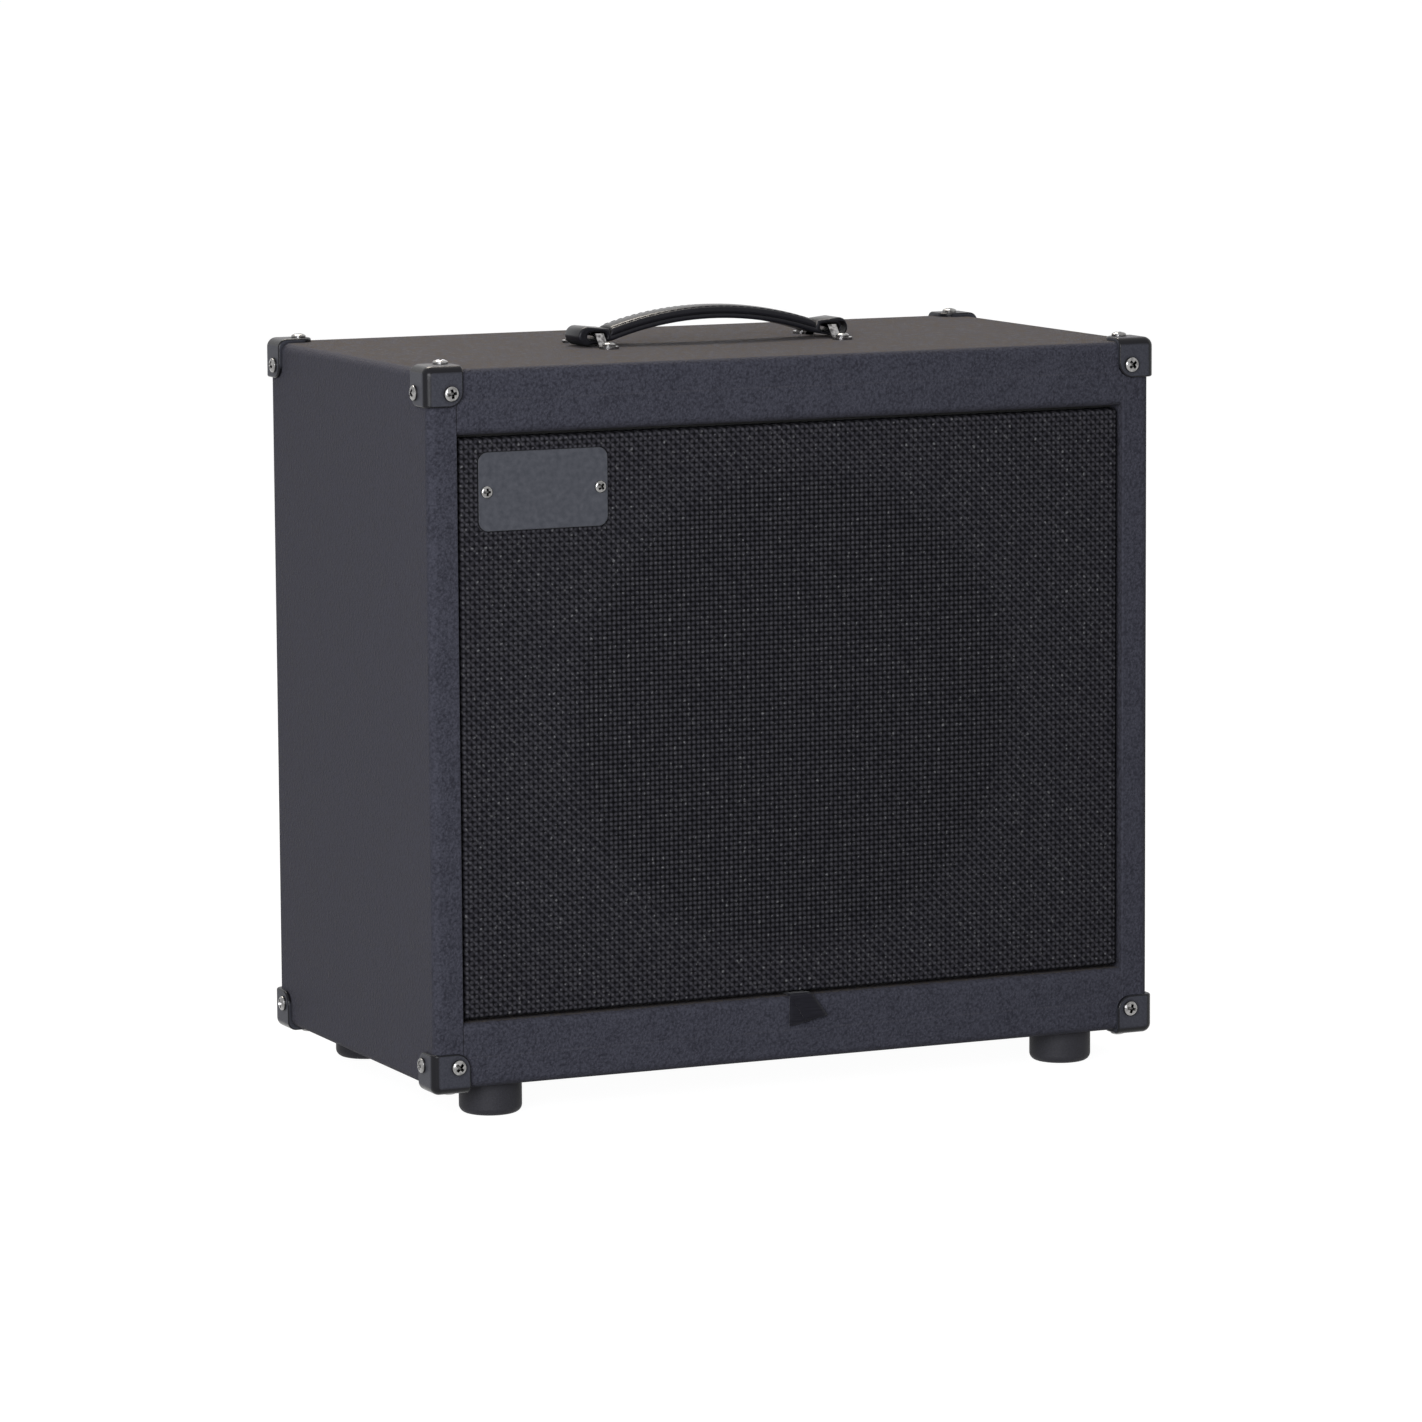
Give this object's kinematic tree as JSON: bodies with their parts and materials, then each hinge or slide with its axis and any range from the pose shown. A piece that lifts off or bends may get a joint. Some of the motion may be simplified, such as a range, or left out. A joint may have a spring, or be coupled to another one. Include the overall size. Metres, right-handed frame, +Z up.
{
  "type": "guitar speaker cabinet",
  "caption": "Black vinyl-covered guitar speaker cabinet with a pull-off woven cloth grille, strap handle, corner protectors, rubber feet and a twelve-inch speaker.",
  "frame": {"origin": "On the floor under the middle of the cabinet: centre of the bounding box in plan, at the feet's underside.", "axes": "+Z up; -Y is the front (the grille side); +X is to the right of someone facing the front."},
  "size_m": [0.4752, 0.2652, 0.4593],
  "materials": {
    "covered_board": "plywood covered with black grained vinyl, low sheen",
    "black_board": "plywood painted matt black",
    "grille_weave": "black plain-woven speaker cloth",
    "hook_and_loop": "black hook-and-loop tape",
    "ribbon": "black woven ribbon",
    "badge_satin": "satin blue-grey plate, bare",
    "bright_screws": "bright plated steel",
    "dark_screws": "black oxide steel",
    "corner_plastic": "black moulded plastic, soft sheen",
    "jack_plastic": "black moulded plastic",
    "foot_rubber": "black rubber",
    "handle_hide": "black leather, stitched, soft sheen",
    "basket_paint": "black painted pressed steel",
    "cone_paper": "dark pressed paper",
    "treated_cloth": "corrugated cloth with a coating",
    "coil_former": "amber film",
    "coil_wire": "wound enamelled copper wire",
    "magnet_steel": "plated steel",
    "magnet_ferrite": "sintered ferrite"
  },
  "bodies": {
    "cabinet": {"top_panel": "covered_board", "bottom_panel": "covered_board", "left_side_panel": "covered_board", "right_side_panel": "covered_board", "front_top_rail": "covered_board", "front_bottom_rail": "covered_board", "back_panel": "covered_board", "baffle_board": "black_board", "baffle_cleats": "black_board", "back_cleats": "black_board", "baffle_hook_strips": "hook_and_loop", "corner_screws": "bright_screws", "handle_screws": "bright_screws", "handle_bracket_left": "bright_screws", "handle_bracket_right": "bright_screws", "jack_nuts": "bright_screws", "back_panel_screws": "dark_screws", "jack_dish_screws": "dark_screws", "speaker_bolts": "dark_screws", "speaker_tee_nuts": "dark_screws", "foot_screws": "dark_screws", "foot_washers": "dark_screws", "corner_front_top_left": "corner_plastic", "corner_front_top_right": "corner_plastic", "corner_front_bottom_left": "corner_plastic", "corner_front_bottom_right": "corner_plastic", "corner_rear_top_left": "corner_plastic", "corner_rear_top_right": "corner_plastic", "corner_rear_bottom_left": "corner_plastic", "corner_rear_bottom_right": "corner_plastic", "jack_dish": "corner_plastic", "input_jack": "jack_plastic", "link_jack": "jack_plastic", "speaker_terminals": "jack_plastic", "foot_front_left": "foot_rubber", "foot_front_right": "foot_rubber", "foot_rear_left": "foot_rubber", "foot_rear_right": "foot_rubber", "speaker_basket": "basket_paint", "speaker_gasket": "cone_paper", "speaker_surround": "treated_cloth", "speaker_spider": "treated_cloth", "magnet_top_plate": "magnet_steel", "magnet_yoke": "magnet_steel", "magnet_ring": "magnet_ferrite"},
    "grille": {"grille_board": "black_board", "grille_cloth": "grille_weave", "grille_loop_strips": "hook_and_loop", "badge_plate": "badge_satin", "badge_screws": "bright_screws", "pull_tab_root": "ribbon"},
    "pull_tab": {"pull_tab": "ribbon"},
    "handle": {"handle_strap": "handle_hide", "handle_grip": "handle_hide"},
    "cone": {"speaker_cone": "cone_paper", "speaker_dust_cap": "cone_paper", "voice_coil_former": "coil_former", "voice_coil": "coil_wire"}
  },
  "joints": [
    {"name": "grille_pull", "type": "slide", "parent": "cabinet", "child": "grille", "axis": [0, -1, 0], "range_m": [0, 0.04]},
    {"name": "tab_swing", "type": "hinge", "parent": "grille", "child": "pull_tab", "pos_m": [0, -0.1285, 0.0591], "axis": [-1, 0, 0], "range_deg": [0, 100]},
    {"name": "handle_lift", "type": "slide", "parent": "cabinet", "child": "handle", "axis": [0, 0, 1], "range_m": [0, 0.0023]},
    {"name": "cone_travel", "type": "slide", "parent": "cabinet", "child": "cone", "axis": [0, 1, 0], "range_m": [-0.003, 0.003], "stiffness_N_per_m": 3000}
  ]
}
